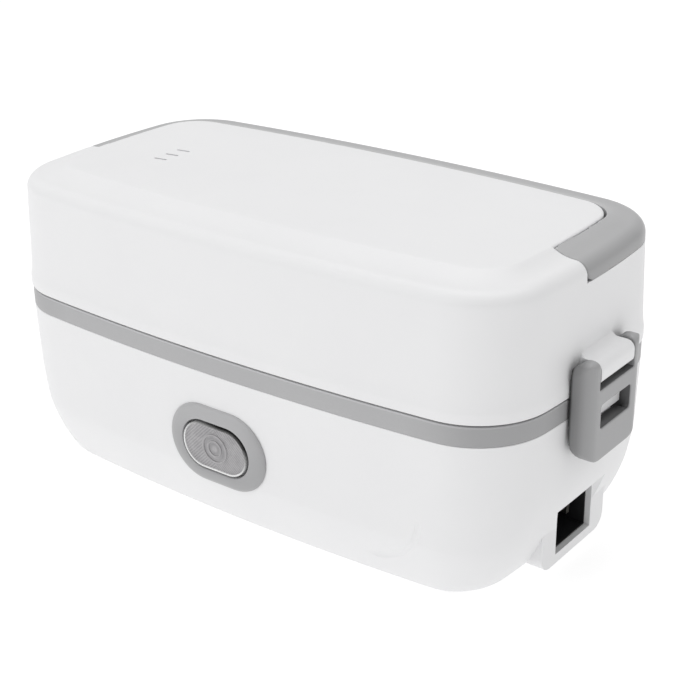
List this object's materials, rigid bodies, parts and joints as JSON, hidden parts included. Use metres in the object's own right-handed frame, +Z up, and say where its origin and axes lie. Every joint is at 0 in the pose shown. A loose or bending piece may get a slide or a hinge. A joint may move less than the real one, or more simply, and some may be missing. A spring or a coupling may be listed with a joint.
{
  "type": "electric lunch box",
  "caption": "White heated lunch box with a grey band, fold-down carry handle, end clips, lamp window and rear-end power inlet.",
  "frame": {"origin": "on the ground, under the middle of the box", "axes": "X along the length with the power inlet at +X, -Y the side with the lamp, Z up"},
  "size_m": [0.254, 0.1273, 0.121],
  "materials": {
    "white_shell": "fine matt moulded white plastic",
    "grey_trim": "fine matt moulded grey plastic",
    "band_grey": "satin moulded grey plastic",
    "lens_clear": "clear polished plastic window",
    "socket_black": "matt black plastic",
    "foot_rubber": "soft grey rubber",
    "stainless": "brushed stainless steel",
    "plate_alu": "plain aluminium",
    "pin_brass": "plated brass",
    "screw_steel": "zinc plated steel",
    "seal_silicone": "translucent silicone",
    "gasket_red": "red silicone",
    "cover_plastic": "satin food-grade plastic",
    "heater_black": "phenolic black plastic",
    "heater_body": "foil covered heater",
    "board_green": "green circuit board",
    "fuse_white": "white ceramic sleeve",
    "wire_brown": "brown insulated lead",
    "wire_blue": "blue insulated lead",
    "wire_green": "green and yellow insulated lead",
    "wire_red": "heat resistant red lead",
    "wire_grey": "thin grey lead"
  },
  "bodies": {
    "base": {"base_shell": "white_shell", "rubber_feet": "foot_rubber", "base_screws": "screw_steel", "heater_liner": "band_grey", "plate_gasket": "gasket_red", "heating_plate": "plate_alu", "ptc_heater": "heater_body", "heater_clamp": "stainless", "clamp_screws": "screw_steel", "thermostat": "heater_black", "thermal_fuse": "fuse_white", "live_lead": "wire_brown", "neutral_lead": "wire_blue", "earth_lead": "wire_green", "heater_leads": "wire_red", "lamp_leads": "wire_grey", "indicator_bezel": "grey_trim", "indicator_lens": "lens_clear", "lamp_board": "board_green", "power_inlet": "socket_black", "inlet_pins": "pin_brass"},
    "container": {"food_container": "stainless"},
    "cover": {"container_lid": "cover_plastic", "container_seal": "seal_silicone"},
    "vent": {"vent_plug": "grey_trim"},
    "tray": {"upper_tray": "cover_plastic"},
    "lid": {"lid_shell": "white_shell"},
    "handle": {"carry_handle": "grey_trim"},
    "clip_left": {"latch_left": "grey_trim"},
    "clip_right": {"latch_right": "grey_trim"}
  },
  "joints": [
    {"name": "container_lift", "type": "slide", "parent": "base", "child": "container", "axis": [0, 0, 1], "range_m": [0, 0.102]},
    {"name": "cover_lift", "type": "slide", "parent": "container", "child": "cover", "axis": [0, 0, 1], "range_m": [0, 0.054]},
    {"name": "vent_pull", "type": "slide", "parent": "cover", "child": "vent", "axis": [0, 0, 1], "range_m": [0, 0.0025]},
    {"name": "tray_lift", "type": "slide", "parent": "cover", "child": "tray", "axis": [0, 0, 1], "range_m": [0, 0.054]},
    {"name": "lid_lift", "type": "slide", "parent": "tray", "child": "lid", "axis": [0, 0, 1], "range_m": [0, 0.102]},
    {"name": "handle_fold", "type": "hinge", "parent": "lid", "child": "handle", "pos_m": [0, -0.0024, 0.1178], "axis": [1, 0, 0], "range_deg": [0, 100]},
    {"name": "clip_right_open", "type": "hinge", "parent": "lid", "child": "clip_right", "pos_m": [0.1231, 0, 0.0826], "axis": [0, -1, 0], "range_deg": [0, 110]},
    {"name": "clip_left_open", "type": "hinge", "parent": "lid", "child": "clip_left", "pos_m": [-0.1231, 0, 0.0826], "axis": [0, 1, 0], "range_deg": [0, 110]}
  ]
}
